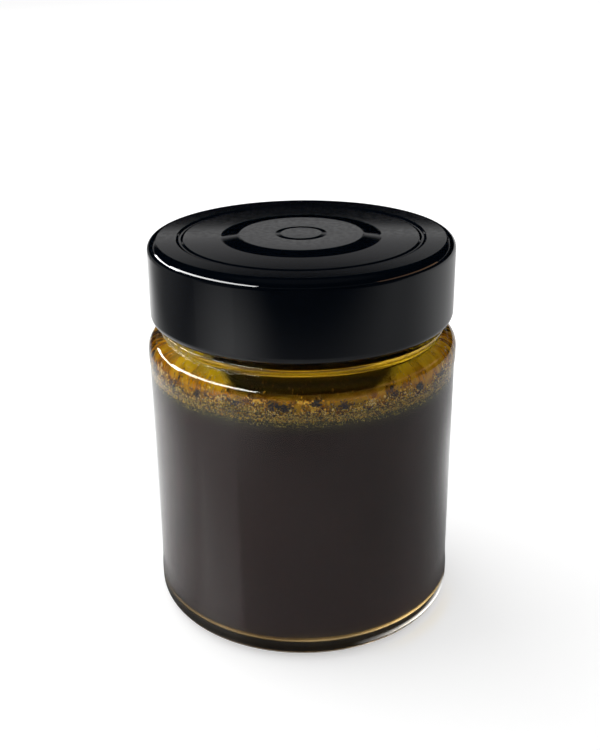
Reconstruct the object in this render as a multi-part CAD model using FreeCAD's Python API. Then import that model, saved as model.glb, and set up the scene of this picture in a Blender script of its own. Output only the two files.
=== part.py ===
"""Straight-sided glass jar of vanilla extract, closed with a deep twist-off cap.

The jar is blown soda-lime glass with a four-start finish.  The cap is drawn from one tinplate blank: a stepped
panel with a button, a deep skirt, and a hem curled inwards that carries four lugs.  A ring of sealing compound
under the cap's outer land beds on the lip of the glass.  The jar holds dark extract with a layer of golden oil
floating on it, up to a level just below the lip.

Units are millimetres.  The origin is the centre of the base, on the surface the jar stands on, with +Z up.
"""

import FreeCAD
import Part

import math
import os

# ---- Jar body -----------------------------------------------------------------------------------------------
BODY_RADIUS = 37.5           # over the raised bands at heel and shoulder
BODY_HEIGHT = 71.3           # top of the shoulder, where the neck starts
WALL = 2.3                   # side wall of the body, behind the bands
PANEL_RECESS = 0.2           # how far the panel between the bands lies inside them
HEEL_BAND_TOP = 7.5          # top of the lower band
SHOULDER_BAND_DEPTH = 5.8    # from the top of the shoulder down to the bottom of the upper band
BAND_RUNOUT = 2.5            # height over which a band fades into the panel
HEEL_ROUND = 4.5             # between base and side
SHOULDER_WIDTH = 4.9         # from the side in to the root of the finish
SHOULDER_FLAT = 0.1          # between the shoulder's round and the neck's

# ---- Base ---------------------------------------------------------------------------------------------------
BEARING_WIDTH = 2.4          # flat ring that the jar stands on
BEARING_INNER_ROUND = 0.6
PUNT_HEIGHT = 0.9            # rise of the underside inside that ring
PUNT_SLOPE = 5.0             # width of the slope from the ring up to the punt
BASE_THICKNESS = 2.2         # glass above the punt
INNER_HEEL_ROUND = 4.0       # bottom corner of the cavity

# ---- Finish: the part of the jar that the cap screws on to --------------------------------------------------
FINISH_WALL = 2.7            # glass between the thread ridges
FINISH_HEIGHT = 21.7         # lip above the top of the shoulder
LIP_ROUND = 1.1              # on both edges of the lip
NECK_STANDOUT = 1.0          # bottom of the groove between shoulder and bead, past the finish
NECK_GROOVE_HEIGHT = 0.9
NECK_GROOVE_ROUND = 0.3      # in its corners
BEAD_STANDOUT = 1.9          # transfer bead just below the cap, past the finish
BEAD_HEIGHT = 2.2

STARTS = 4                   # thread ridges on the glass, and lugs on the cap
RIDGE_STANDOUT = 1.1         # past the finish
RIDGE_HEIGHT = 1.6           # at its root
RIDGE_CREST = 0.6            # flat of its crest
RIDGE_SWEEP = 66.0           # degrees of turn that one ridge covers
RIDGE_DROP = 2.2             # how far it runs down over that turn
RIDGE_ABOVE_BEAD = 1.1       # from the bead up to its low end
RIDGE_LET_IN = 0.6           # depth of its root inside the finish
RIDGE_FADE = 0.35            # exponent: lower values keep the crest full nearer to the ends
RIDGE_SECTIONS = 9           # sections lofted into one ridge

# ---- Cap ----------------------------------------------------------------------------------------------------
CAP_GAUGE = 0.25             # lacquered tinplate
CAP_CORNER_ROUND = 2.3       # between skirt and land
HEM_CLEARANCE = 0.2          # between the hem and the ridges it passes over
HEM_ABOVE_BEAD = 0.5
HEM_WIDTH = 2.6              # from the skirt's outside to the hem's inner side
HEM_HEIGHT = 2.3             # of the rolled part
HEM_INNER_ROUND = 0.55       # along its inner side
HEM_FLAT = 0.05              # between that round and the larger one under the skirt
HEM_EDGE_GAP = 0.4           # from the sheet's cut edge to the inside of the skirt

GROOVE_WIDTH = 1.6           # ring pressed down between land and panel
GROOVE_DEPTH = 0.3           # below land
GROOVE_ROUND = 0.45          # its bends
PANEL_DROP = 0.1             # panel below land
BUTTON_FOOT_RADIUS = 18.9    # where the slope up to the button starts
BUTTON_TOP_RADIUS = 14.9     # where that slope ends
BUTTON_RISE = 0.45           # button above panel
DISH_DEPTH = 0.04            # button's rim down to the lowest ring of its dish
BOSS_RADIUS = 4.9            # small raised disc at the centre
BOSS_SLOPE = 1.2             # width of the slope round it
BOSS_RISE = 0.05             # boss above the lowest ring
BUTTON_ROUND = 4.0           # bends of the button and the boss

LUG_LENGTH = 9.0             # along the hem
LUG_TURN = 0.2               # lug's place past the middle of its ridge, as a share of the ridge's sweep
LUG_CLEARANCE = 0.5          # between its tip and the finish
LUG_PLAY = 0.05              # between its top and the underside of the ridge
LUG_ROUND = 0.3

# ---- Sealing compound ---------------------------------------------------------------------------------------
SEAL_THICKNESS = 1.0         # left between lip and land
SEAL_BITE = 0.3              # how deep the lip is bedded in the ring
SEAL_OVERHANG_OUT = 0.9      # ring past the outside of the finish
SEAL_OVERHANG_IN = 0.1       # ring past the mouth
SEAL_TO_GROOVE = 0.3         # from the ring in to the cap's groove
SEAL_ROUND = 0.5

# ---- Contents -----------------------------------------------------------------------------------------------
HEADSPACE = 8.5              # from the lip down to the surface of the oil
OIL_DEPTH = 20.9             # layer of golden oil that floats on the extract

# ---- Places that follow from those sizes --------------------------------------------------------------------
PANEL_RADIUS = BODY_RADIUS - PANEL_RECESS
BEARING_INNER = BODY_RADIUS - HEEL_ROUND - BEARING_WIDTH
SHOULDER_BAND_BOTTOM = BODY_HEIGHT - SHOULDER_BAND_DEPTH
CAVITY_RADIUS = BODY_RADIUS - WALL
CAVITY_FLOOR = PUNT_HEIGHT + BASE_THICKNESS
FINISH_RADIUS = BODY_RADIUS - SHOULDER_WIDTH
MOUTH_RADIUS = FINISH_RADIUS - FINISH_WALL
NECK_RADIUS = FINISH_RADIUS + NECK_STANDOUT
SHOULDER_ROUND = BODY_RADIUS - NECK_RADIUS - NECK_GROOVE_ROUND - SHOULDER_FLAT
BEAD_RADIUS = FINISH_RADIUS + BEAD_STANDOUT
BEAD_BOTTOM = BODY_HEIGHT + NECK_GROOVE_HEIGHT
BEAD_TOP = BEAD_BOTTOM + BEAD_HEIGHT
LIP_TOP = BODY_HEIGHT + FINISH_HEIGHT
RIDGE_ROOT = FINISH_RADIUS - RIDGE_LET_IN
RIDGE_RADIUS = FINISH_RADIUS + RIDGE_STANDOUT
RIDGE_FLANK = (RIDGE_HEIGHT - RIDGE_CREST) / 2
HEM_INNER_RADIUS = RIDGE_RADIUS + HEM_CLEARANCE
HEM_OUTER_ROUND = HEM_WIDTH - HEM_INNER_ROUND - HEM_FLAT
HEM_BOTTOM = BEAD_TOP + HEM_ABOVE_BEAD
CAP_RADIUS = HEM_INNER_RADIUS + HEM_WIDTH
SEAL_INNER = MOUTH_RADIUS - SEAL_OVERHANG_IN
LAND_INNER = SEAL_INNER - SEAL_TO_GROOVE
LAND_UNDERSIDE = LIP_TOP + SEAL_THICKNESS
LAND_TOP = LAND_UNDERSIDE + CAP_GAUGE
OIL_LEVEL = LIP_TOP - HEADSPACE
EXTRACT_LEVEL = OIL_LEVEL - OIL_DEPTH

AXIS = FreeCAD.Vector(0, 0, 1)
ORIGIN = FreeCAD.Vector(0, 0, 0)


# ---- Shared ways of making shapes ---------------------------------------------------------------------------
def rounded_path(corners):
    """Edges through (r, z) or (r, z, round) corners in the XZ plane, with a tangent arc at each round."""
    points = [FreeCAD.Vector(corner[0], 0, corner[1]) for corner in corners]
    edges = []
    start = points[0]
    for before, point, after, corner in zip(points, points[1:], points[2:], corners[1:]):
        if len(corner) < 3:
            edges.append(Part.LineSegment(start, point).toShape())
            start = point
            continue
        back = (before - point).normalize()
        ahead = (after - point).normalize()
        half_angle = back.getAngle(ahead) / 2
        setback = corner[2] / math.tan(half_angle)
        to_arc = corner[2] / math.sin(half_angle) - corner[2]
        arc_start = point + back * setback
        arc_end = point + ahead * setback
        arc_middle = point + (back + ahead).normalize() * to_arc
        edges.append(Part.LineSegment(start, arc_start).toShape())
        edges.append(Part.Arc(arc_start, arc_middle, arc_end).toShape())
        start = arc_end
    edges.append(Part.LineSegment(start, points[-1]).toShape())
    return edges


def parallel(corners, distance):
    """The same path moved to the right of its run by a distance, with every round kept concentric."""
    points = [FreeCAD.Vector(corner[0], corner[1], 0) for corner in corners]
    steps = [(b - a).normalize() for a, b in zip(points, points[1:])]
    rights = [FreeCAD.Vector(step.y, -step.x, 0) for step in steps]
    moved = []
    for i, point in enumerate(points):
        before = max(i - 1, 0)
        after = min(i, len(steps) - 1)
        half_turn = steps[before].getAngle(steps[after]) / 2
        sideways = (rights[before] + rights[after]).normalize() * (distance / math.cos(half_turn))
        place = point + sideways
        if len(corners[i]) < 3:
            moved.append((place.x, place.y))
            continue
        turns_right = steps[before].cross(steps[after]).z < 0
        growth = -distance if turns_right else distance
        moved.append((place.x, place.y, corners[i][2] + growth))
    return moved


def turned(corners, angle=360.0):
    """Solid made by turning the closed outline through those corners about the Z axis."""
    outline = Part.Wire(rounded_path(corners + [corners[0][:2]]))
    return Part.Face(outline).revolve(ORIGIN, AXIS, angle)


def around(shape, angle):
    """Copy of a shape turned about the Z axis by an angle in degrees."""
    copy = shape.copy()
    copy.rotate(ORIGIN, AXIS, angle)
    return copy


def at_each_start(shape):
    """Copies of a shape, one for each start of the thread."""
    return [around(shape, 360.0 / STARTS * i) for i in range(STARTS)]


# ---- Jar ----------------------------------------------------------------------------------------------------
def cavity_wall():
    """Inside of the jar, from the centre of its floor to the top of the lip."""
    return [
        (0.0, CAVITY_FLOOR),
        (CAVITY_RADIUS, CAVITY_FLOOR, INNER_HEEL_ROUND),
        (CAVITY_RADIUS, BODY_HEIGHT - SHOULDER_ROUND - WALL / 2, SHOULDER_ROUND),
        (MOUTH_RADIUS, BEAD_BOTTOM, SHOULDER_ROUND),
        (MOUTH_RADIUS, LIP_TOP, LIP_ROUND),
    ]


def outer_wall():
    """Outside of the jar, from the centre of its underside to the top of the lip."""
    flank = BEAD_HEIGHT / 4
    return [
        (0.0, PUNT_HEIGHT),
        (BEARING_INNER - PUNT_SLOPE, PUNT_HEIGHT, PUNT_SLOPE / 2),
        (BEARING_INNER, 0.0, BEARING_INNER_ROUND),
        (BODY_RADIUS, 0.0, HEEL_ROUND),
        (BODY_RADIUS, HEEL_BAND_TOP, BAND_RUNOUT),
        (PANEL_RADIUS, HEEL_BAND_TOP + BAND_RUNOUT, BAND_RUNOUT),
        (PANEL_RADIUS, SHOULDER_BAND_BOTTOM - BAND_RUNOUT, BAND_RUNOUT),
        (BODY_RADIUS, SHOULDER_BAND_BOTTOM, BAND_RUNOUT),
        (BODY_RADIUS, BODY_HEIGHT, SHOULDER_ROUND),
        (NECK_RADIUS, BODY_HEIGHT, NECK_GROOVE_ROUND),
        (NECK_RADIUS, BEAD_BOTTOM, NECK_GROOVE_ROUND),
        (BEAD_RADIUS, BEAD_BOTTOM + flank, flank),
        (BEAD_RADIUS, BEAD_TOP - flank, flank),
        (FINISH_RADIUS, BEAD_TOP, flank),
        (FINISH_RADIUS, LIP_TOP, LIP_ROUND),
    ]


def ridge_at(run):
    """Radius of a ridge's crest and height of its underside, at a share of its run from high end to low."""
    faded = FINISH_RADIUS - RIDGE_LET_IN / 2
    swell = max(math.sin(math.pi * run), 0.0) ** RIDGE_FADE
    crest = faded + (RIDGE_RADIUS - faded) * swell
    underside = BEAD_TOP + RIDGE_ABOVE_BEAD + RIDGE_DROP * (1 - run)
    return crest, underside


def thread_ridge():
    """One ridge of the thread, lofted through upright sections that swell and fade along its run."""
    sections = []
    for i in range(RIDGE_SECTIONS):
        run = i / (RIDGE_SECTIONS - 1)
        crest, underside = ridge_at(run)
        corners = [
            FreeCAD.Vector(RIDGE_ROOT, 0, underside),
            FreeCAD.Vector(crest, 0, underside + RIDGE_FLANK),
            FreeCAD.Vector(crest, 0, underside + RIDGE_FLANK + RIDGE_CREST),
            FreeCAD.Vector(RIDGE_ROOT, 0, underside + RIDGE_HEIGHT),
        ]
        section = Part.makePolygon(corners + corners[:1])
        sections.append(around(section, RIDGE_SWEEP * (run - 0.5)))
    return Part.makeLoft(sections, True, False)


def make_jar():
    """The glass jar: body and finish turned in one piece, with the ridges of the thread on it."""
    blank = turned(outer_wall() + list(reversed(cavity_wall())))
    return blank.fuse(at_each_start(thread_ridge()))


# ---- Cap ----------------------------------------------------------------------------------------------------
def cap_face():
    """Outer face of the sheet: boss, button, panel, groove, land, skirt, and round the hem to its cut edge."""
    panel = LAND_TOP - PANEL_DROP
    button = panel + BUTTON_RISE
    dish = button - DISH_DEPTH
    boss = dish + BOSS_RISE
    groove_floor = LAND_TOP - GROOVE_DEPTH
    groove_inner = LAND_INNER - GROOVE_WIDTH
    groove_side = GROOVE_WIDTH / 3
    hem_top = HEM_BOTTOM + HEM_HEIGHT
    return [
        (0.0, boss),
        (BOSS_RADIUS, boss, BUTTON_ROUND),
        (BOSS_RADIUS + BOSS_SLOPE, dish, BUTTON_ROUND),
        (BUTTON_TOP_RADIUS, button, BUTTON_ROUND),
        (BUTTON_FOOT_RADIUS, panel, BUTTON_ROUND),
        (groove_inner, panel, GROOVE_ROUND),
        (groove_inner + groove_side, groove_floor, GROOVE_ROUND),
        (LAND_INNER - groove_side, groove_floor, GROOVE_ROUND),
        (LAND_INNER, LAND_TOP, GROOVE_ROUND),
        (CAP_RADIUS, LAND_TOP, CAP_CORNER_ROUND),
        (CAP_RADIUS, HEM_BOTTOM, HEM_OUTER_ROUND),
        (HEM_INNER_RADIUS, HEM_BOTTOM, HEM_INNER_ROUND),
        (HEM_INNER_RADIUS, hem_top, HEM_INNER_ROUND),
        (CAP_RADIUS - CAP_GAUGE - HEM_EDGE_GAP, hem_top),
    ]


def lug():
    """One lug, pressed in from the hem, whose leading end bears on the underside of a ridge."""
    length = math.degrees(LUG_LENGTH / HEM_INNER_RADIUS)
    middle = RIDGE_SWEEP * LUG_TURN
    crest, underside = ridge_at(0.5 + LUG_TURN + length / 2 / RIDGE_SWEEP)
    tip = FINISH_RADIUS + LUG_CLEARANCE
    root = HEM_INNER_RADIUS + CAP_GAUGE / 2
    bottom = HEM_BOTTOM + CAP_GAUGE / 2
    top = underside + RIDGE_FLANK * (tip - RIDGE_ROOT) / (crest - RIDGE_ROOT) - LUG_PLAY
    outline = [(root, bottom), (tip, bottom, LUG_ROUND), (tip, top, LUG_ROUND), (root, top)]
    return around(turned(outline, length), middle - length / 2)


def make_cap():
    """The tinplate cap: one sheet of even gauge, with its lugs."""
    face = cap_face()
    sheet = turned(face + list(reversed(parallel(face, CAP_GAUGE))))
    return sheet.fuse(at_each_start(lug()))


# ---- Sealing compound ---------------------------------------------------------------------------------------
def make_seal(jar):
    """The ring of compound under the land, with the lip of the jar bedded in it."""
    outer = FINISH_RADIUS + SEAL_OVERHANG_OUT
    ring = turned([
        (SEAL_INNER, LAND_UNDERSIDE),
        (SEAL_INNER, LIP_TOP - SEAL_BITE, SEAL_ROUND),
        (outer, LIP_TOP - SEAL_BITE, SEAL_ROUND),
        (outer, LAND_UNDERSIDE),
    ])
    return ring.cut(jar)


# ---- Contents -----------------------------------------------------------------------------------------------
def filling(bottom, top):
    """What the cavity holds between two levels."""
    cavity = turned(cavity_wall()[:-1] + [(MOUTH_RADIUS, LIP_TOP), (0.0, LIP_TOP)])
    slab = Part.makeCylinder(BODY_RADIUS, top - bottom, FreeCAD.Vector(0, 0, bottom))
    return cavity.common(slab)


# ---- Pieces -------------------------------------------------------------------------------------------------
def main():
    jar = make_jar()
    pieces = {
        "jar": jar,
        "cap": make_cap(),
        "cap_seal": make_seal(jar),
        "extract": filling(CAVITY_FLOOR, EXTRACT_LEVEL),
        "oil": filling(EXTRACT_LEVEL, OIL_LEVEL),
    }
    os.makedirs("parts", exist_ok=True)
    for node, piece in pieces.items():
        solids = piece.Solids
        if len(solids) != 1 or not piece.isValid():
            raise ValueError(f"{node} should be one valid solid and has {len(solids)}")
        solids[0].exportStep(f"parts/{node}.step")
        print(f"{node}: {solids[0].Volume / 1000:.2f} cm3")


main()
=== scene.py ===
import math

import bpy
import numpy as np
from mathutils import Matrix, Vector


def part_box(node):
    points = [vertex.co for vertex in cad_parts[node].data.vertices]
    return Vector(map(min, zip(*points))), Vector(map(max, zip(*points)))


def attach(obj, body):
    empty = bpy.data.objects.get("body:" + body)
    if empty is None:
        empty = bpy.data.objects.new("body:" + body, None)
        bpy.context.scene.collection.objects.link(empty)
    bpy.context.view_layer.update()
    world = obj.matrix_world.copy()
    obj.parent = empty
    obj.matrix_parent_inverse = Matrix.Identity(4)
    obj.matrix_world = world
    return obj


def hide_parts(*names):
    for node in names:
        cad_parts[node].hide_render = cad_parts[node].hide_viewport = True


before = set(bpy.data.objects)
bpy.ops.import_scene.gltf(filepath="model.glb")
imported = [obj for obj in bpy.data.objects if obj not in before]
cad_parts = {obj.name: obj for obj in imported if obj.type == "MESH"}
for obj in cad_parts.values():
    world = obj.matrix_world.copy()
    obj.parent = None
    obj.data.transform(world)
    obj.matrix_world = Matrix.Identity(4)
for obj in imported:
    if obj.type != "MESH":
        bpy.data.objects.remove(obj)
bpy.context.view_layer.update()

MM = 0.001

# ---- The glass jar ------------------------------------------------------------------------------------------
# One piece of blown soda-lime glass: a straight body with a slightly raised band at heel and shoulder, a
# shallow punt under the base, and a finish with a bead and four thread ridges for the cap.  Its inner wall is
# wet with extract below and with oil above, which bends light less there than a dry wall would.
_, jar_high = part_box("jar")
extract_low, extract_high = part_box("extract")
_, oil_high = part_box("oil")

BODY_RADIUS = jar_high.x
LIP_TOP = jar_high.z
CAVITY_RADIUS = extract_high.x
CAVITY_FLOOR = extract_low.z
EXTRACT_LEVEL = extract_high.z
OIL_LEVEL = oil_high.z

FINISH_HEIGHT = 21.7 * MM
BODY_HEIGHT = LIP_TOP - FINISH_HEIGHT
PANEL_RECESS = 0.2 * MM
PANEL_RADIUS = BODY_RADIUS - PANEL_RECESS
BAND_RUNOUT = 2.5 * MM
HEEL_BAND_TOP = 7.5 * MM
SHOULDER_BAND_DEPTH = 5.8 * MM
SHOULDER_BAND_BOTTOM = BODY_HEIGHT - SHOULDER_BAND_DEPTH
HEEL_ROUND = 4.5 * MM
BEARING_WIDTH = 2.4 * MM
BEARING_RADIUS = BODY_RADIUS - HEEL_ROUND - BEARING_WIDTH
BEARING_ROUND = 0.6 * MM
PUNT_HEIGHT = 0.9 * MM
PUNT_SLOPE = 5.0 * MM
INNER_HEEL_ROUND = 4.0 * MM
SHOULDER_WIDTH = 4.9 * MM
FINISH_RADIUS = BODY_RADIUS - SHOULDER_WIDTH
FINISH_WALL = 2.7 * MM
MOUTH_RADIUS = FINISH_RADIUS - FINISH_WALL
LIP_ROUND = 1.1 * MM
NECK_STANDOUT = 1.0 * MM
NECK_RADIUS = FINISH_RADIUS + NECK_STANDOUT
NECK_ROUND = 0.3 * MM
SHOULDER_FLAT = 0.1 * MM
SHOULDER_ROUND = BODY_RADIUS - NECK_RADIUS - NECK_ROUND - SHOULDER_FLAT
SHOULDER_WALL = 1.15 * MM
INNER_SHOULDER = BODY_HEIGHT - SHOULDER_ROUND - SHOULDER_WALL
BEAD_STANDOUT = 1.9 * MM
BEAD_RADIUS = FINISH_RADIUS + BEAD_STANDOUT
NECK_DEPTH = 0.9 * MM
BEAD_BOTTOM = BODY_HEIGHT + NECK_DEPTH
BEAD_DEPTH = 2.2 * MM
BEAD_TOP = BEAD_BOTTOM + BEAD_DEPTH
BEAD_FLANK = 0.55 * MM
STARTS = 4
RIDGE_SWEEP = math.radians(66)
RIDGE_DROP = 2.2 * MM
RIDGE_CLEARANCE = 1.1 * MM
RIDGE_BOTTOM = BEAD_TOP + RIDGE_CLEARANCE
RIDGE_STEPS = (0.18 * MM, 0.5 * MM, 1.1 * MM, 1.42 * MM)
RIDGE_STANDOUT = 1.1 * MM
RIDGE_TOE = 0.3 * MM
RIDGE_FADE = 0.35

TURNS = 256
ARC_STEPS = 20
WELD = MM / 1000


def rounded(corners):
    """Points along (radius, height) or (radius, height, round) corners, with an arc drawn at each round."""
    points = [Vector(corner[:2]) for corner in corners]
    drawn = [points[0]]
    for before, point, after, corner in zip(points, points[1:], points[2:], corners[1:]):
        if len(corner) < 3:
            drawn.append(point)
            continue
        back = (before - point).normalized()
        ahead = (after - point).normalized()
        half = back.angle(ahead) / 2
        centre = point + (back + ahead).normalized() * (corner[2] / math.sin(half))
        first = point + back * (corner[2] / math.tan(half)) - centre
        turn = math.pi - 2 * half
        if back.x * ahead.y - back.y * ahead.x < 0:
            turn = -turn
        steps = max(2, math.ceil(abs(turn) / math.radians(90) * ARC_STEPS))
        for i in range(steps + 1):
            angle = -turn * i / steps
            spoke = Vector((
                first.x * math.cos(angle) - first.y * math.sin(angle),
                first.x * math.sin(angle) + first.y * math.cos(angle),
            ))
            drawn.append(centre + spoke)
    drawn.append(points[-1])
    return drawn


def turned(name, drawn):
    """A surface turned on the lathe: its outline is drawn point by point, then spun about the upright axis."""
    bpy.ops.object.select_all(action="DESELECT")
    bpy.ops.mesh.primitive_plane_add(size=MM)
    piece = bpy.context.object
    piece.name = name
    bpy.ops.object.mode_set(mode="EDIT")
    bpy.ops.mesh.merge(type="CENTER")
    bpy.ops.transform.translate(value=(drawn[0].x, 0, drawn[0].y))
    for here, there in zip(drawn, drawn[1:]):
        step = (there.x - here.x, 0, there.y - here.y)
        bpy.ops.mesh.extrude_vertices_move(TRANSFORM_OT_translate={"value": step})
    bpy.ops.mesh.select_all(action="SELECT")
    bpy.ops.mesh.spin(steps=TURNS, angle=2 * math.pi, center=(0, 0, 0), axis=(0, 0, 1))
    bpy.ops.mesh.select_all(action="SELECT")
    bpy.ops.mesh.remove_doubles(threshold=WELD)
    bpy.ops.object.mode_set(mode="OBJECT")
    return piece


def joined(name, pieces):
    """Several surfaces made one closed piece, with their shared edges merged and their faces outwards."""
    bpy.ops.object.select_all(action="DESELECT")
    for piece in pieces:
        piece.select_set(True)
    bpy.context.view_layer.objects.active = pieces[0]
    bpy.ops.object.join()
    piece = bpy.context.object
    piece.name = name
    piece.data.name = name
    bpy.ops.object.mode_set(mode="EDIT")
    bpy.ops.mesh.select_all(action="SELECT")
    bpy.ops.mesh.remove_doubles(threshold=WELD)
    bpy.ops.mesh.normals_make_consistent(inside=False)
    bpy.ops.object.mode_set(mode="OBJECT")
    bpy.ops.object.shade_smooth_by_angle(angle=math.radians(35))
    return piece


def node(tree, kind, values=(), **settings):
    """A new shader node with its settings, and its inputs set or joined in order."""
    made = tree.nodes.new("ShaderNode" + kind)
    for key, value in settings.items():
        setattr(made, key, value)
    for slot, value in enumerate(values):
        if isinstance(value, bpy.types.NodeSocket):
            tree.links.new(value, made.inputs[slot])
        elif value is not None:
            made.inputs[slot].default_value = value
    return made


def maths(tree, operation, *values):
    """The result of one sum on values or sockets."""
    return node(tree, "Math", values, operation=operation).outputs[0]


def ramp(tree, value, low, high, start=0.0, end=1.0):
    """A smooth step of a value, from start at low to end at high."""
    made = node(tree, "MapRange", (value, low, high, start, end), interpolation_type="SMOOTHSTEP")
    return made.outputs[0]


def clear_material(name, ior):
    """A polished clear material that bends light by an index."""
    material = bpy.data.materials.new(name)
    material.use_nodes = True
    shader = material.node_tree.nodes["Principled BSDF"]
    shader.inputs["Base Color"].default_value = (1, 1, 1, 1)
    shader.inputs["Roughness"].default_value = 0.0
    shader.inputs["Transmission Weight"].default_value = 1.0
    shader.inputs["IOR"].default_value = ior
    return material


GLASS_INDEX = 1.52
OIL_INDEX = 1.467
EXTRACT_INDEX = 1.36
WAVES_PER_METRE = 55.0
WAVE_STRENGTH, WAVE_HEIGHT = 0.12, 0.1 * MM
glass = clear_material("glass", GLASS_INDEX)
tree = glass.node_tree
place = node(tree, "TexCoord").outputs["Object"]
waves = node(tree, "TexNoise", (place, None, WAVES_PER_METRE, 1.0)).outputs["Fac"]
settle = node(tree, "Bump", (WAVE_STRENGTH, WAVE_HEIGHT))
tree.links.new(waves, settle.inputs["Height"])
tree.links.new(settle.outputs["Normal"], tree.nodes["Principled BSDF"].inputs["Normal"])
glass_on_oil = clear_material("glass_on_oil", GLASS_INDEX / OIL_INDEX)
glass_on_extract = clear_material("glass_on_extract", GLASS_INDEX / EXTRACT_INDEX)

lip_middle = (FINISH_RADIUS + MOUTH_RADIUS) / 2
outside = rounded([
    (0.0, PUNT_HEIGHT),
    (BEARING_RADIUS - PUNT_SLOPE, PUNT_HEIGHT, PUNT_SLOPE / 2),
    (BEARING_RADIUS, 0.0, BEARING_ROUND),
    (BODY_RADIUS, 0.0, HEEL_ROUND),
    (BODY_RADIUS, HEEL_BAND_TOP, BAND_RUNOUT),
    (PANEL_RADIUS, HEEL_BAND_TOP + BAND_RUNOUT, BAND_RUNOUT),
    (PANEL_RADIUS, SHOULDER_BAND_BOTTOM - BAND_RUNOUT, BAND_RUNOUT),
    (BODY_RADIUS, SHOULDER_BAND_BOTTOM, BAND_RUNOUT),
    (BODY_RADIUS, BODY_HEIGHT, SHOULDER_ROUND),
    (NECK_RADIUS, BODY_HEIGHT, NECK_ROUND),
    (NECK_RADIUS, BEAD_BOTTOM, NECK_ROUND),
    (BEAD_RADIUS, BEAD_BOTTOM + BEAD_FLANK, BEAD_FLANK),
    (BEAD_RADIUS, BEAD_TOP - BEAD_FLANK, BEAD_FLANK),
    (FINISH_RADIUS, BEAD_TOP, BEAD_FLANK),
    *[(FINISH_RADIUS, RIDGE_BOTTOM + RIDGE_DROP + step) for step in RIDGE_STEPS],
    (FINISH_RADIUS, LIP_TOP, LIP_ROUND),
    (lip_middle, LIP_TOP),
])
inside = rounded([
    (0.0, CAVITY_FLOOR),
    (CAVITY_RADIUS, CAVITY_FLOOR, INNER_HEEL_ROUND),
    (CAVITY_RADIUS, INNER_SHOULDER, SHOULDER_ROUND),
    (MOUTH_RADIUS, BEAD_BOTTOM, SHOULDER_ROUND),
    (MOUTH_RADIUS, LIP_TOP, LIP_ROUND),
    (lip_middle, LIP_TOP),
])


def stretch(drawn, low, high):
    """The part of an outline between two heights, with a point of its own at each."""
    kept = []
    for here, there in zip(drawn, drawn[1:]):
        if not kept and here.y >= low:
            kept.append(here)
        if here.y < low <= there.y:
            kept.append(here.lerp(there, (low - here.y) / (there.y - here.y)))
        if here.y < high <= there.y:
            kept.append(here.lerp(there, (high - here.y) / (there.y - here.y)))
            return kept
        if kept and there.y > low or there.y == here.y:
            kept.append(there)
    return kept


def painted(piece, material):
    """The piece with one material in place of what it had."""
    piece.data.materials.clear()
    piece.data.materials.append(material)
    return piece


def ridged(piece):
    """The four thread ridges: the rows of the finish are drawn out, each ridge running down over its sweep."""
    pitch = 2 * math.pi / STARTS
    for point in piece.data.vertices:
        co = point.co
        if math.hypot(co.x, co.y) < FINISH_RADIUS - MM / 10:
            continue
        for row, step in enumerate(RIDGE_STEPS):
            if abs(co.z - (RIDGE_BOTTOM + RIDGE_DROP + step)) > MM / 100:
                continue
            angle = (math.atan2(co.y, co.x) + RIDGE_SWEEP / 2) % pitch
            run = angle / RIDGE_SWEEP
            if run < 1:
                lift = RIDGE_DROP * (1 - run)
                rise = math.sin(math.pi * run) ** RIDGE_FADE * (RIDGE_STANDOUT + RIDGE_TOE) - RIDGE_TOE
            else:
                lift = RIDGE_DROP * (angle - RIDGE_SWEEP) / (pitch - RIDGE_SWEEP)
                rise = 0
            co.z = RIDGE_BOTTOM + lift + step
            if row in (1, 2):
                out = 1 + max(rise, 0) / math.hypot(co.x, co.y)
                co.x *= out
                co.y *= out
            break
    return piece


jar_glass = joined("jar_glass", [
    painted(ridged(turned("outer_skin", outside)), glass),
    painted(turned("skin_on_extract", stretch(inside, 0, EXTRACT_LEVEL)), glass_on_extract),
    painted(turned("skin_on_oil", stretch(inside, EXTRACT_LEVEL, OIL_LEVEL)), glass_on_oil),
    painted(turned("dry_skin", stretch(inside, OIL_LEVEL, LIP_TOP + MM)), glass),
])
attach(jar_glass, "root")
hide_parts("jar")

# ---- The contents -------------------------------------------------------------------------------------------
# Dark vanilla extract under a layer of golden oil, both clear but coloured and a little clouded by fine matter.
# They fill the jar to its wall.  Their skins reach a little into the glass, so that no gap shows between them.
WALL_BITE = 0.12 * MM
CLOUDS_PER_METRE = 45.0


def grown(drawn, distance):
    """An outline of the cavity moved out into the glass, or in from it where the distance is below zero."""
    moved = []
    for i, point in enumerate(drawn):
        before = drawn[max(i - 1, 0)]
        after = drawn[min(i + 1, len(drawn) - 1)]
        along = (after - before).normalized()
        moved.append(point + Vector((along.y, -along.x)) * distance)
    moved[0].x = max(moved[0].x, 0)
    return moved


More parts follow.
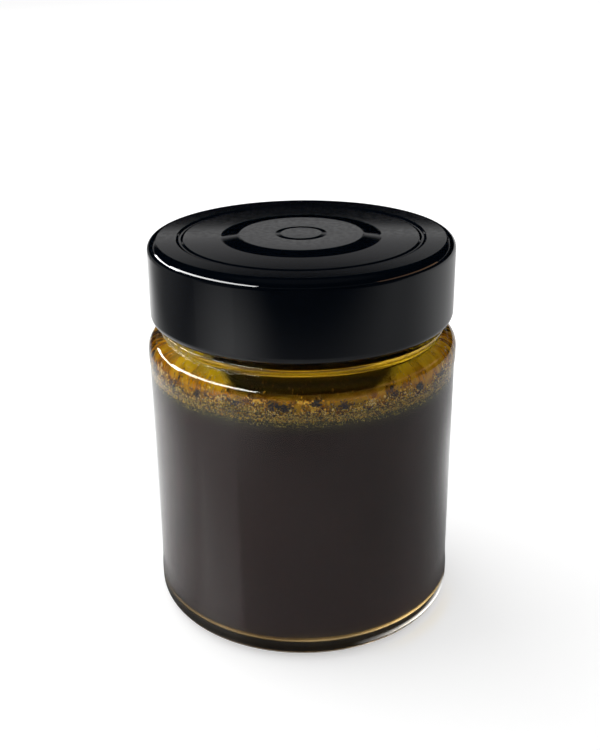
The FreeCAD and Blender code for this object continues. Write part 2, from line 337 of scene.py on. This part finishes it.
def liquid_material(name, ior, colour, density, clearness, layers):
    """A clear liquid that darkens light by its depth, a little cloudy with fine matter that hangs in it.
    Each layer of the cloud has the heights over which it sets in, and its thin and thick colours."""
    material = clear_material(name, ior)
    tree = material.node_tree
    shader = tree.nodes["Principled BSDF"]
    shader.inputs["Transmission Weight"].default_value = clearness
    place = node(tree, "TexCoord").outputs["Object"]
    rise = node(tree, "SeparateXYZ", (place,)).outputs["Z"]
    cloud = node(tree, "TexNoise", (place, None, CLOUDS_PER_METRE, 3.0)).outputs["Fac"]
    drift = ramp(tree, cloud, 0.35, 0.65)
    tint = None
    for bottom, top, thin, thick in layers:
        layer = node(tree, "MixRGB", (drift, (*thin, 1), (*thick, 1))).outputs["Color"]
        if tint is None:
            tint = layer
        else:
            tint = node(tree, "MixRGB", (ramp(tree, rise, bottom, top), tint, layer)).outputs["Color"]
    tree.links.new(tint, shader.inputs["Base Color"])
    volume = tree.nodes.new("ShaderNodeVolumeAbsorption")
    volume.inputs["Color"].default_value = (*colour, 1)
    volume.inputs["Density"].default_value = density
    tree.links.new(volume.outputs["Volume"], tree.nodes["Material Output"].inputs["Volume"])
    return material


EXTRACT_COLOUR, EXTRACT_DENSITY, EXTRACT_CLEARNESS = (0.66, 0.55, 0.25), 480, 0.93
OIL_COLOUR, OIL_DENSITY, OIL_CLEARNESS = (0.893, 0.78, 0.0), 75, 1.0
# The first layer, gold at the foot of the extract below 5 mm, is painted light: it stands in for light shining
# through the thin extract at the heel.
EXTRACT_CLOUD_AND_FOOT_GLOW = [
    (0, 0, (0.32, 0.21, 0.08), (0.66, 0.48, 0.22)),
    (5.0 * MM, 7.5 * MM, (0.36, 0.19, 0.17), (0.46, 0.26, 0.23)),
    (EXTRACT_LEVEL - 5.0 * MM, EXTRACT_LEVEL - 2.4 * MM, (0.82, 0.72, 0.38), (0.90, 0.82, 0.48)),
]
OIL_CLOUD = [(0, 0, (1.0, 1.0, 0.98), (0.97, 0.93, 0.80))]
extract_look = EXTRACT_COLOUR, EXTRACT_DENSITY, EXTRACT_CLEARNESS, EXTRACT_CLOUD_AND_FOOT_GLOW
oil_look = OIL_COLOUR, OIL_DENSITY, OIL_CLEARNESS, OIL_CLOUD
extract_wall = liquid_material("extract_wall", 1.0, *extract_look)
extract_top = liquid_material("extract_top", EXTRACT_INDEX / OIL_INDEX, *extract_look)
oil_wall = liquid_material("oil_wall", 1.0, *oil_look)
oil_top = liquid_material("oil_top", OIL_INDEX, *oil_look)

wet = grown(stretch(inside, 0, EXTRACT_LEVEL), WALL_BITE)
wet[-1].y = EXTRACT_LEVEL
extract = joined("extract_liquid", [
    painted(turned("extract_skin", wet), extract_wall),
    painted(turned("extract_surface", [wet[-1], Vector((0, EXTRACT_LEVEL))]), extract_top),
])
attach(extract, "root")
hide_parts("extract")

OVERLAP = 0.02 * MM
oily = grown(stretch(inside, EXTRACT_LEVEL, OIL_LEVEL), WALL_BITE)
oily[0].y = EXTRACT_LEVEL - OVERLAP
oily[-1].y = OIL_LEVEL
oil = joined("oil_liquid", [
    painted(turned("oil_skin", [Vector((0, EXTRACT_LEVEL - OVERLAP))] + oily), oil_wall),
    painted(turned("oil_surface", [oily[-1], Vector((0, OIL_LEVEL))]), oil_top),
])
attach(oil, "root")
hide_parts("oil")

# ---- Haze in the oil ----------------------------------------------------------------------------------------
# Droplets of extract that have not settled out hang at the foot of the oil and make it cloudy there.  They are
# shown as one thin golden veil all round the jar, a little inside the wall, behind the crumbs that cling to it.
# At the left and right sides the veil reaches higher and turns bright yellow.  This is painted light, standing
# in for the light that the shoulder glass bends into the oil there.
HAZE_BOTTOM = EXTRACT_LEVEL - 2.4 * MM
HAZE_TOP = EXTRACT_LEVEL + 13.0 * MM
HAZE_DEPTH = 0.9 * MM
HAZE_THICKNESS = 0.12 * MM
HAZE_SHADES = [(0.38, (0.50, 0.17, 0.010)), (0.50, (0.62, 0.29, 0.015)), (0.62, (0.70, 0.40, 0.03))]
PAINTED_GLOW_GOLD = (0.92, 0.68, 0.02)
LEFT_GLOW_CLIMB, RIGHT_GLOW_CLIMB = 8.5 * MM, 5.0 * MM


def graded(tree, value, stops):
    """A colour that changes with a value, through (value, colour) stops."""
    made = node(tree, "ValToRGB", (value,))
    elements = made.color_ramp.elements
    for i, (at, colour) in enumerate(stops):
        stop = elements[i] if i < 2 else elements.new(at)
        stop.position = at
        stop.color = (*colour, 1)
    return made.outputs["Color"]


behind = grown(stretch(inside, HAZE_BOTTOM, HAZE_TOP), -HAZE_DEPTH)
deeper = grown(stretch(inside, HAZE_BOTTOM, HAZE_TOP), -HAZE_DEPTH - HAZE_THICKNESS)
haze_and_glow_veil = bpy.data.materials.new("haze_and_glow_veil")
haze_and_glow_veil.use_nodes = True
tree = haze_and_glow_veil.node_tree
place = node(tree, "TexCoord").outputs["Object"]
rise = node(tree, "SeparateXYZ", (place,)).outputs["Z"]
patches = node(tree, "TexNoise", (place, None, 420.0, 3.0)).outputs["Fac"]
drawn_out = node(tree, "Mapping", (place, None, None, (1.0, 1.0, 0.3))).outputs["Vector"]
streaks = node(tree, "TexNoise", (drawn_out, None, 1500.0, 2.0)).outputs["Fac"]
# Painted light: the veil climbs higher at the sides, more at the left, and turns bright yellow there.
across = node(tree, "SeparateXYZ", (place,)).outputs["X"]
left_glow_climb = ramp(tree, across, -12.0 * MM, -31.0 * MM, 0.0, LEFT_GLOW_CLIMB)
right_glow_climb = ramp(tree, across, 13.0 * MM, 34.5 * MM, 0.0, RIGHT_GLOW_CLIMB)
glow_climb = maths(tree, "ADD", left_glow_climb, right_glow_climb)
above = maths(tree, "SUBTRACT", maths(tree, "SUBTRACT", rise, EXTRACT_LEVEL), glow_climb)
foot = ramp(tree, rise, HAZE_BOTTOM + 0.3 * MM, EXTRACT_LEVEL - 0.4 * MM)
crown = ramp(tree, above, 2.4 * MM, 4.0 * MM, 1.0, 0.0)
thickness = maths(tree, "MULTIPLY", foot, crown)
broken = maths(
    tree, "MULTIPLY",
    ramp(tree, streaks, 0.3, 0.55, 0.7, 1.0),
    ramp(tree, patches, 0.25, 0.6, 0.7, 1.0))
shade = graded(tree, patches, HAZE_SHADES)
golden = ramp(tree, rise, EXTRACT_LEVEL + 3.0 * MM, EXTRACT_LEVEL + 5.5 * MM)
blend = node(tree, "MixRGB", (golden, shade, (*PAINTED_GLOW_GOLD, 1))).outputs["Color"]
thinned = ramp(tree, rise, EXTRACT_LEVEL + 3.0 * MM, EXTRACT_LEVEL + 6.0 * MM, 0.66, 0.42)
shader = tree.nodes["Principled BSDF"]
tree.links.new(blend, shader.inputs["Base Color"])
alpha = maths(tree, "MULTIPLY", maths(tree, "MULTIPLY", thickness, broken), thinned)
tree.links.new(alpha, shader.inputs["Alpha"])
shader.inputs["Roughness"].default_value = 1.0
shader.inputs["Specular IOR Level"].default_value = 0.0
oil_haze = joined("oil_haze", [painted(turned("veil", [*behind, *reversed(deeper), behind[0]]), haze_and_glow_veil)])
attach(oil_haze, "root")

# ---- Vanilla crumbs -----------------------------------------------------------------------------------------
# Ground pod and seed that has settled out between the oil and the extract.  It clings to the glass as a
# ragged band a few millimetres deep, with clots hanging in the oil and fine silt sinking into the extract.
BAND_BOTTOM = EXTRACT_LEVEL - 1.9 * MM
BAND_TOP = EXTRACT_LEVEL + 3.0 * MM
CLEARANCE = 0.03 * MM
GRAINS_PER_METRE = 2200.0
GRAIN_STOPS = (0.36, 0.50, 0.64)
EDGE_WAVES = (3, 7, 12, 19, 31, 47, 71)
EDGE_WANDER = 0.35
CLOT_SPREAD = 0.28
SMALL_LEAN = 1.8
draw = np.random.default_rng(7)
wall_heights = np.array([point.y for point in inside])
wall_radii = np.array([point.x for point in inside])


def one_grain(kind):
    """Corners and faces of one grain, about 1 across: a splinter of 8 faces or a lump of 20."""
    bpy.ops.object.select_all(action="DESELECT")
    if kind == "splinter":
        bpy.ops.mesh.primitive_cone_add(vertices=4, radius1=0.5, depth=0.5, end_fill_type="TRIFAN")
    else:
        bpy.ops.mesh.primitive_ico_sphere_add(subdivisions=1, radius=0.5)
    pattern = bpy.context.object
    corners = np.array([point.co[:] for point in pattern.data.vertices])
    if kind == "splinter":
        foot = np.hypot(corners[:, 0], corners[:, 1]) < 0.1
        corners[foot & (corners[:, 2] < 0), 2] -= 0.5
        corners[:, 2] += 0.25
    faces = np.array([face.vertices[:] for face in pattern.data.polygons])
    bpy.data.objects.remove(pattern)
    return corners, faces


def ragged(angles, seed):
    """How far the band's edge wanders round the jar, from -1 to 1."""
    phases = np.random.default_rng(seed).uniform(0, 2 * np.pi, len(EDGE_WAVES))
    waves = [np.cos(turns * angles + phase) for turns, phase in zip(EDGE_WAVES, phases)]
    return np.clip(sum(waves) / 3, -1, 1)


def in_band(count, bottom, top, lean=1.0):
    """Places in the band: a turn round the jar and a height, thicker towards its foot with a higher lean."""
    angles = draw.uniform(0, 2 * np.pi, count)
    share = draw.beta(1.3, 1.3 * lean, count)
    edge = EDGE_WANDER * (top - bottom) * ragged(angles, 3)
    return angles, bottom + share * (top - bottom + edge)


def in_clots(count, clots):
    """Places in clots, given by turn from the front in degrees, and by height, width and depth in mm."""
    chosen = draw.integers(0, len(clots), count)
    turn, height, width, depth = np.array(clots)[chosen].T
    angles = np.radians(turn - 90) + draw.normal(0, CLOT_SPREAD, count) * width * MM / CAVITY_RADIUS
    return angles, height * MM + draw.normal(0, CLOT_SPREAD, count) * depth * MM


def strewn(count, low, high, widest, shallowest, deepest):
    """Clots round the sides and the back of the jar."""
    return [(
        draw.uniform(80, 280), draw.uniform(low, high),
        draw.uniform(1.2, widest), draw.uniform(shallowest, deepest),
    ) for _ in range(count)]


def scattered(name, kind, places, smallest, largest, depth, colours, afloat=False):
    """One piece of many grains, each of its own size and turn, that lie close to the wall.
    Grains afloat are spread over the whole surface of the extract instead.  Sizes and depth are in mm."""
    corners, faces = one_grain(kind)
    angles, heights = (np.concatenate(values) for values in zip(*places))
    count = len(angles)
    sizes = smallest * (largest / smallest) ** (draw.random(count) ** SMALL_LEAN) * MM
    away = CLEARANCE + 0.62 * sizes + draw.exponential(depth * MM, count)
    radii = np.maximum(np.interp(heights, wall_heights, wall_radii) - away, 0.1 * CAVITY_RADIUS)
    if afloat:
        radii = (radii - 0.5 * MM) * np.sqrt(draw.random(count))
    centres = np.stack([radii * np.cos(angles), radii * np.sin(angles), heights], axis=1)
    shape = corners[None] * draw.uniform(0.55, 1.25, (count, 1, 3))
    shape = shape * draw.uniform(0.72, 1.15, (count, len(corners), 1))
    turns, _ = np.linalg.qr(draw.normal(size=(count, 3, 3)))
    turns[:, :, 0] *= np.linalg.det(turns)[:, None]
    grains = np.einsum("nij,nkj->nki", turns, shape) * sizes[:, None, None]
    points = grains + centres[:, None]
    mesh = bpy.data.meshes.new(name)
    every = faces[None] + (np.arange(count) * len(corners))[:, None, None]
    mesh.from_pydata(points.reshape(-1, 3).tolist(), [], every.reshape(-1, faces.shape[1]).tolist())
    piece = bpy.data.objects.new(name, mesh)
    bpy.context.scene.collection.objects.link(piece)
    material = bpy.data.materials.new(name)
    material.use_nodes = True
    tree = material.node_tree
    place = node(tree, "TexCoord").outputs["Object"]
    grain = node(tree, "TexNoise", (place, None, GRAINS_PER_METRE, 2.0)).outputs["Fac"]
    shade = graded(tree, grain, list(zip(GRAIN_STOPS, colours)))
    shader = tree.nodes["Principled BSDF"]
    tree.links.new(shade, shader.inputs["Base Color"])
    shader.inputs["Roughness"].default_value = 0.55
    mesh.materials.append(material)
    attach(piece, "root")
    return piece


dark_clots = [
    (-54.6, 64.6, 1.6, 2.4), (-40.9, 65.2, 1.4, 1.4), (-9.5, 65.6, 5.2, 2.6), (-6.0, 65.0, 2.0, 1.5),
    (4.8, 66.3, 1.6, 2.0), (14.6, 65.5, 1.8, 1.5), (34.1, 66.0, 4.6, 3.6), (61.1, 65.0, 5.0, 3.0),
    (-24.0, 65.4, 1.6, 1.2), (47.0, 65.2, 2.2, 1.6), (-70.0, 65.4, 3.0, 2.6),
    *strewn(26, 64.4, 66.2, 5, 1.2, 3.2),
]
pale_clots = [
    (25.2, 65.2, 2.6, 2.0), (-31.0, 65.6, 1.4, 1.0), (72.0, 64.6, 3.0, 5.0), (-64.0, 66.4, 2.4, 1.6),
    *strewn(14, 64.0, 66.0, 4, 1.0, 2.4),
]
gold_clots = [
    (4.2, 65.2, 1.8, 1.2), (0.0, 66.6, 3.0, 0.8), (-16.0, 66.4, 3.0, 0.8), (72.0, 63.8, 3.0, 5.0),
    *strewn(14, 64.0, 66.4, 4, 0.8, 1.6),
]
scattered("dark_clots", "lump", [
    in_clots(2600, dark_clots),
], 0.20, 0.75, 0.04, [(0.004, 0.004, 0.006), (0.014, 0.011, 0.012), (0.07, 0.045, 0.03)])
scattered("dark_seeds", "splinter", [
    in_band(6500, BAND_BOTTOM, BAND_TOP, 1.3), in_clots(2500, dark_clots),
], 0.18, 0.70, 0.10, [(0.004, 0.004, 0.005), (0.012, 0.009, 0.009), (0.045, 0.026, 0.014)])
scattered("pod_crumbs", "lump", [
    in_band(4200, BAND_BOTTOM, BAND_TOP, 1.5), in_clots(700, dark_clots),
], 0.15, 0.50, 0.14, [(0.070, 0.034, 0.010), (0.22, 0.12, 0.040), (0.42, 0.25, 0.09)])
scattered("tan_crumbs", "lump", [
    in_band(3400, BAND_BOTTOM, BAND_TOP, 1.9), in_clots(900, pale_clots),
], 0.24, 0.85, 0.08, [(0.52, 0.28, 0.03), (0.92, 0.62, 0.12), (1.0, 0.86, 0.34)])
scattered("golden_crumbs", "lump", [
    in_band(2000, BAND_BOTTOM, BAND_TOP, 1.5), in_clots(800, gold_clots),
], 0.20, 0.85, 0.06, [(0.70, 0.32, 0.02), (0.94, 0.55, 0.04), (0.98, 0.78, 0.12)])
scattered("seeds_afloat", "splinter", [
    in_band(5000, EXTRACT_LEVEL + 0.10 * MM, EXTRACT_LEVEL + 0.30 * MM),
], 0.14, 0.40, 0.2, [(0.040, 0.018, 0.005), (0.12, 0.058, 0.014), (0.30, 0.16, 0.04)], afloat=True)
scattered("pale_flecks", "splinter", [
    in_band(600, BAND_BOTTOM, BAND_TOP, 1.6), in_clots(600, pale_clots),
], 0.12, 0.34, 0.08, [(0.40, 0.42, 0.46), (0.62, 0.64, 0.68), (0.85, 0.85, 0.82)])
scattered("fine_silt", "splinter", [
    in_band(11000, EXTRACT_LEVEL - 3.0 * MM, EXTRACT_LEVEL + 0.5 * MM, 0.6),
], 0.15, 0.36, 0.06, [(0.12, 0.098, 0.010), (0.48, 0.40, 0.050), (0.84, 0.72, 0.18)])

# ---- The cap ------------------------------------------------------------------------------------------------
# A twist-off cap pressed from tinplate, lacquered gloss black outside and gold inside.  Its four lugs grip
# under the thread ridges, and pull a ring of soft sealing compound down on the lip of the glass.
# The faint blue in the outside black is a painted reflection: it stands in for cool light mirrored in the
# skirt.
OUTSIDE_BLACK_AND_PAINTED_BLUE = (0.0010, 0.0020, 0.0038)
INSIDE_GOLD = (0.42, 0.26, 0.06)
INSIDE_REACH = 36.3 * MM
ABOVE_HEM = 76.5 * MM
BELOW_PANEL = 92.0 * MM
LACQUER_GRAINS, COMPOUND_GRAINS = 900.0, 1400.0
PALE_PASTE, DARK_PASTE = (0.66, 0.64, 0.58), (0.50, 0.48, 0.42)
lacquer = bpy.data.materials.new("cap_lacquer")
lacquer.use_nodes = True
tree = lacquer.node_tree
place = node(tree, "TexCoord").outputs["Object"]
flat = node(tree, "VectorMath", (place, (1, 1, 0)), operation="MULTIPLY").outputs["Vector"]
reach = node(tree, "VectorMath", (flat,), operation="LENGTH").outputs["Value"]
rise = node(tree, "SeparateXYZ", (place,)).outputs["Z"]
within = maths(tree, "LESS_THAN", reach, INSIDE_REACH)
above_hem = maths(tree, "GREATER_THAN", rise, ABOVE_HEM)
below_panel = maths(tree, "LESS_THAN", rise, BELOW_PANEL)
lined = maths(tree, "MULTIPLY", maths(tree, "MULTIPLY", within, above_hem), below_panel)
cloud = node(tree, "TexNoise", (place, None, LACQUER_GRAINS, 3.0)).outputs["Fac"]
coat = node(tree, "MixRGB", (lined, (*OUTSIDE_BLACK_AND_PAINTED_BLUE, 1), (*INSIDE_GOLD, 1)))
shader = tree.nodes["Principled BSDF"]
tree.links.new(coat.outputs["Color"], shader.inputs["Base Color"])
tree.links.new(ramp(tree, cloud, 0.3, 0.7, 0.040, 0.065), shader.inputs["Roughness"])
shader.inputs["Specular IOR Level"].default_value = 0.5
painted(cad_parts["cap"], lacquer)

seal = bpy.data.materials.new("sealing_compound")
seal.use_nodes = True
tree = seal.node_tree
shader = tree.nodes["Principled BSDF"]
place = node(tree, "TexCoord").outputs["Object"]
grain = node(tree, "TexNoise", (place, None, COMPOUND_GRAINS, 4.0)).outputs["Fac"]
paste = node(tree, "MixRGB", (ramp(tree, grain, 0.35, 0.65), (*DARK_PASTE, 1), (*PALE_PASTE, 1)))
tree.links.new(paste.outputs["Color"], shader.inputs["Base Color"])
tree.links.new(ramp(tree, grain, 0.3, 0.7, 0.52, 0.68), shader.inputs["Roughness"])
painted(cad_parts["cap_seal"], seal)

# ---- Floor, light and camera --------------------------------------------------------------------------------
# A plain white sweep.  The camera sees it white, with the jar's shadow on it.  Its light and shade as seen
# through the glass and in reflections are painted.  Through the glass it dims to the front.  In reflections it
# falls off to the front and the far left, with soft brighter patches and a stripe, and right beside the jar it
# is darker, as painted shade.  A small patch by the right heel, brighter than white in reflections and through
# the glass, is painted light that stands for the light the glass throws there.  Lengths and places on the
# floor are in metres.
BACK_LEFT = (-0.25, 0.97, 0)
FRONT_RIGHT = (0.80, -0.60, 0)
SIDE_FALL = (-0.24, -0.12, 0.28, 1.0)
FRONT_FALLS = [(-0.30, -0.11, 0.02, 0.40), (-0.08, 0.10, 0.0, 0.20)]
MIRRORED_PATCHES = [
    ((-0.085, 0.05, 0), 0.14, 0.50),
    ((-0.19, -0.15, 0), 0.17, 0.52),
    ((0.07, 0.06, 0), 0.06, 0.35),
    ((-0.16, 0.32, 0), 0.24, 0.50),
]
SEEN_THROUGH = (-0.14, 0.0, 0.42, 1.0)
BRIGHT_PATCH, BRIGHT_SIZE = (0.031, -0.022, 0), 0.024
BRIGHT_REACH = (0.0385, 0.0415, 1.0, 0.0)
BRIGHT_START = (0.0370, 0.0378)
BRIGHT_THROUGH, BRIGHT_MIRRORED = 3.0, 16.0
BRIGHT_CREAM = (1, 0.93, 0.80, 1)
STRIPE_RIGHT, STRIPE_RIGHT_EDGE = (-0.632, 0.775, 0), (-0.0205, -0.0145)
STRIPE_LEFT, STRIPE_LEFT_EDGE = (0.101, -0.995, 0), (0.0185, 0.0300)
STRIPE_FADE = (0.05, 0.16, 0.27, 0.05)
PAINTED_SHADE_BESIDE_JAR = (0.0380, 0.0480, 0.3, 1.0)
FLOOR_GLOW = 0.44


def lobe(tree, vector, centre, size):
    """A soft round patch: 1 at its centre, fading to 0 over its size."""
    apart = node(tree, "VectorMath", (vector, centre), operation="DISTANCE").outputs["Value"]
    return ramp(tree, apart, 0.0, size, 1.0, 0.0)


def lies_along(tree, vector, direction):
    """How far a place or a way lies along a direction."""
    return node(tree, "VectorMath", (vector, direction), operation="DOT_PRODUCT").outputs["Value"]


bpy.ops.object.select_all(action="DESELECT")
bpy.ops.mesh.primitive_plane_add(size=8)
floor = bpy.context.object
floor.name = "floor"
sweep = bpy.data.materials.new("sweep")
sweep.use_nodes = True
tree = sweep.node_tree
tree.nodes.clear()
path = node(tree, "LightPath")
place = node(tree, "NewGeometry").outputs["Position"]
parts = node(tree, "SeparateXYZ", (place,)).outputs
from_axis = node(tree, "VectorMath", (place,), operation="LENGTH").outputs["Value"]

front_fall = maths(tree, "ADD", *[ramp(tree, parts["Y"], *fall) for fall in FRONT_FALLS])
mirrored = maths(tree, "MULTIPLY", ramp(tree, parts["X"], *SIDE_FALL), front_fall)
for centre, size, strength in MIRRORED_PATCHES:
    patch = maths(tree, "MULTIPLY", lobe(tree, place, centre, size), strength)
    mirrored = maths(tree, "ADD", mirrored, patch)
wedge = maths(
    tree, "MULTIPLY",
    ramp(tree, lies_along(tree, place, STRIPE_RIGHT), *STRIPE_RIGHT_EDGE),
    ramp(tree, lies_along(tree, place, STRIPE_LEFT), *STRIPE_LEFT_EDGE))
stripe = maths(tree, "MULTIPLY", wedge, ramp(tree, from_axis, *STRIPE_FADE))
mirrored = maths(tree, "ADD", mirrored, stripe)
# Painted shade: in reflections the floor darkens right beside the jar.
mirrored = maths(tree, "MULTIPLY", mirrored, ramp(tree, from_axis, *PAINTED_SHADE_BESIDE_JAR))

# Painted light: a small patch by the right heel, brighter than white in reflections and through the glass.
caught = maths(
    tree, "MULTIPLY",
    lobe(tree, place, BRIGHT_PATCH, BRIGHT_SIZE),
    ramp(tree, from_axis, *BRIGHT_REACH))
thrown = maths(tree, "MULTIPLY", caught, ramp(tree, from_axis, *BRIGHT_START))
mirrored = maths(tree, "ADD", mirrored, maths(tree, "MULTIPLY", thrown, BRIGHT_MIRRORED))
through = maths(
    tree, "ADD",
    ramp(tree, lies_along(tree, place, BACK_LEFT), *SEEN_THROUGH),
    maths(tree, "MULTIPLY", caught, BRIGHT_THROUGH))

level = maths(tree, "MAXIMUM", path.outputs["Is Camera Ray"], maths(
    tree, "MAXIMUM",
    maths(tree, "MULTIPLY", path.outputs["Is Transmission Ray"], through),
    maths(tree, "MULTIPLY", path.outputs["Is Glossy Ray"], mirrored)))
glow = maths(tree, "MULTIPLY", level, FLOOR_GLOW)
lit = node(tree, "BsdfDiffuse", ((0.8, 0.8, 0.8, 1),))
half_lit = node(tree, "BsdfDiffuse", ((0.78, 0.78, 0.78, 1),))
cream = node(tree, "MixRGB", (thrown, (1, 1, 1, 1), BRIGHT_CREAM)).outputs["Color"]
light = node(tree, "Emission", (cream, glow))
both = node(tree, "AddShader", (half_lit.outputs[0], light.outputs[0]))
dimmed = node(tree, "MixShader", (level, None, both.outputs[0]))
seen = maths(tree, "MAXIMUM", path.outputs["Is Camera Ray"], path.outputs["Is Transmission Ray"])
looked_at = maths(tree, "MAXIMUM", seen, path.outputs["Is Glossy Ray"])
shown = node(tree, "MixShader", (looked_at, lit.outputs[0], dimmed.outputs[0]))
node(tree, "OutputMaterial", (shown.outputs[0],))
floor.data.materials.append(sweep)

# The room is white behind the jar.  Through the glass it dims to the front left.  In reflections it is dark
# but for a low pale band and a faint glow overhead.  It also lights the jar evenly from all round.
BAND_FOOT = (0.2525, 0.2575)
BAND_TOPS = [(0.258, 0.268, 0.55, 0.0), (0.262, 0.305, 0.45, 0.0)]
BAND_LEVEL = 0.54
ZENITH = (0.80, 0.97, 0.0, 0.04)
ROOM_BEHIND = (-0.9, 0.1, 0.42, 1.0)
ROOM_IN_FRONT = (0.0, 0.8, 0.0, 1.0)
ROOM_LIGHT = 0.68
world = bpy.data.worlds.new("studio")
bpy.context.scene.world = world
world.use_nodes = True
tree = world.node_tree
tree.nodes.clear()
path = node(tree, "LightPath")
way = node(tree, "TexCoord").outputs["Generated"]
height = node(tree, "SeparateXYZ", (way,)).outputs["Z"]
band_top = maths(tree, "ADD", *[ramp(tree, height, *top) for top in BAND_TOPS])
band = maths(tree, "MULTIPLY", maths(tree, "MULTIPLY", ramp(tree, height, *BAND_FOOT), band_top), BAND_LEVEL)
zenith = ramp(tree, height, *ZENITH)
mirrored = maths(tree, "MULTIPLY", path.outputs["Is Glossy Ray"], maths(tree, "ADD", band, zenith))
around = maths(
    tree, "MAXIMUM",
    ramp(tree, lies_along(tree, way, BACK_LEFT), *ROOM_BEHIND),
    ramp(tree, lies_along(tree, way, FRONT_RIGHT), *ROOM_IN_FRONT))
through = maths(tree, "MULTIPLY", path.outputs["Is Transmission Ray"], around)
seen = maths(tree, "MAXIMUM", path.outputs["Is Camera Ray"], through)
lighting = maths(tree, "MULTIPLY", path.outputs["Is Diffuse Ray"], ROOM_LIGHT)
strength = maths(tree, "MAXIMUM", seen, maths(tree, "MAXIMUM", lighting, mirrored))
background = node(tree, "Background", ((1, 1, 1, 1), strength))
node(tree, "OutputWorld", (background.outputs[0],))


LAMP_AIM = Vector((0, 0, 0.06))


def panel_lamp(name, size, place, watts, colour=(1, 1, 1)):
    """A flat studio lamp turned towards the jar."""
    light = bpy.data.lights.new(name, "AREA")
    light.shape = "RECTANGLE"
    light.size, light.size_y = size
    light.energy = watts
    light.color = colour
    lamp = bpy.data.objects.new(name, light)
    bpy.context.scene.collection.objects.link(lamp)
    lamp.location = place
    aim = LAMP_AIM - lamp.location
    lamp.rotation_euler = aim.to_track_quat("-Z", "Y").to_euler()
    return lamp


softbox = panel_lamp("softbox", (2.6, 0.60), (-1.08, 0.58, 0.86), 16.5)
softbox.visible_glossy = False
strip = panel_lamp("strip", (0.95, 0.12), (-0.53, -0.17, 0.35), 6.4)
back_strip = panel_lamp("back_strip", (0.50, 0.06), (-0.60, 0.33, 0.30), 1.7)
warm_strip = panel_lamp("warm_strip", (0.9, 0.10), (0.75, -0.05, 0.36), 0.34, (1.0, 0.55, 0.3))
# The strips are only there to be mirrored in the glass and the lacquer.
for lamp in (strip, back_strip, warm_strip):
    lamp.visible_diffuse = False
    lamp.visible_transmission = False
    lamp.visible_volume_scatter = False

camera_data = bpy.data.cameras.new("camera")
camera = bpy.data.objects.new("camera", camera_data)
bpy.context.scene.collection.objects.link(camera)
camera_data.lens = 51.36
camera_data.sensor_width = 36
camera_data.shift_x = 0.0023
camera_data.shift_y = -0.0032
camera_data.clip_start = 0.01
camera.location = (0, -246.54 * MM, 161.17 * MM)
camera.rotation_euler = (math.radians(90 - 22.55), math.radians(0.574), 0)
bpy.context.scene.camera = camera
bpy.context.scene.view_settings.view_transform = "Standard"

# Light is guided along the glass base by many inner reflections, so a ray may turn often.
bounces = bpy.context.scene.cycles
bounces.max_bounces = 32
bounces.glossy_bounces = 24
bounces.transmission_bounces = 24
bounces.transparent_max_bounces = 24
